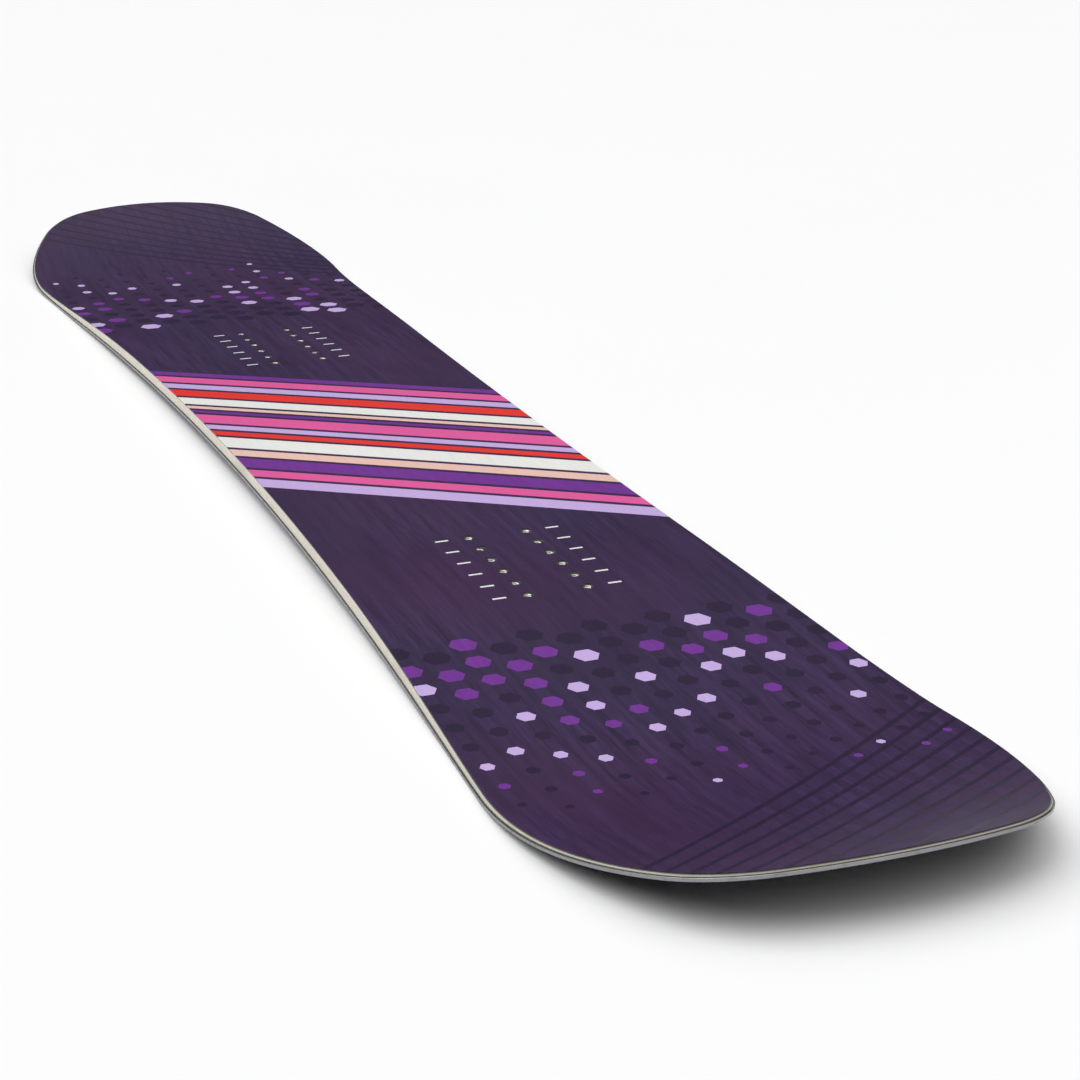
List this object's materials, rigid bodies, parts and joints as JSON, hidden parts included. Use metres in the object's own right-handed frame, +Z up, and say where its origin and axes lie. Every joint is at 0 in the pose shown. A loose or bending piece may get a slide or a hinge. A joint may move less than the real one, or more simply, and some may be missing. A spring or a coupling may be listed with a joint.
{
  "type": "snowboard",
  "caption": "Twin-tip snowboard deck with cambered profile, steel edges, cream sidewalls, printed topsheet and threaded binding inserts.",
  "frame": {"origin": "centre of the board in plan, on the plane the base's contact lines rest on", "axes": "+X along the board towards the nose, +Y across it towards the heel edge, +Z up through the topsheet"},
  "size_m": [1.46, 0.2818, 0.0391],
  "materials": {
    "topsheet": "satin printed nylon, purple ground with coloured abstract artwork",
    "sidewall": "cream ABS, milled",
    "edge_steel": "ground steel edge",
    "base": "structured polyethylene running base",
    "laminate": "resin and glass cloth",
    "foil_rubber": "thin rubber foil",
    "core_softwood": "planed poplar",
    "core_hardwood": "planed beech",
    "insert_steel": "turned stainless steel, threaded",
    "disc_plastic": "thin adhesive disc"
  },
  "bodies": {
    "root": {"base_sheet": "base", "edge_toe": "edge_steel", "edge_heel": "edge_steel", "foil_toe": "foil_rubber", "foil_heel": "foil_rubber", "lower_glass": "laminate", "upper_glass": "laminate", "sidewall_toe": "sidewall", "sidewall_heel": "sidewall", "spacer_nose": "sidewall", "spacer_tail": "sidewall", "stringer_01": "core_softwood", "stringer_02": "core_softwood", "stringer_03": "core_softwood", "stringer_04": "core_softwood", "stringer_05": "core_hardwood", "stringer_06": "core_softwood", "stringer_07": "core_hardwood", "stringer_08": "core_softwood", "stringer_09": "core_softwood", "stringer_10": "core_softwood", "stringer_11": "core_softwood", "inserts_front": "insert_steel", "inserts_rear": "insert_steel", "discs_front": "disc_plastic", "discs_rear": "disc_plastic", "topsheet": "topsheet"}
  },
  "joints": []
}
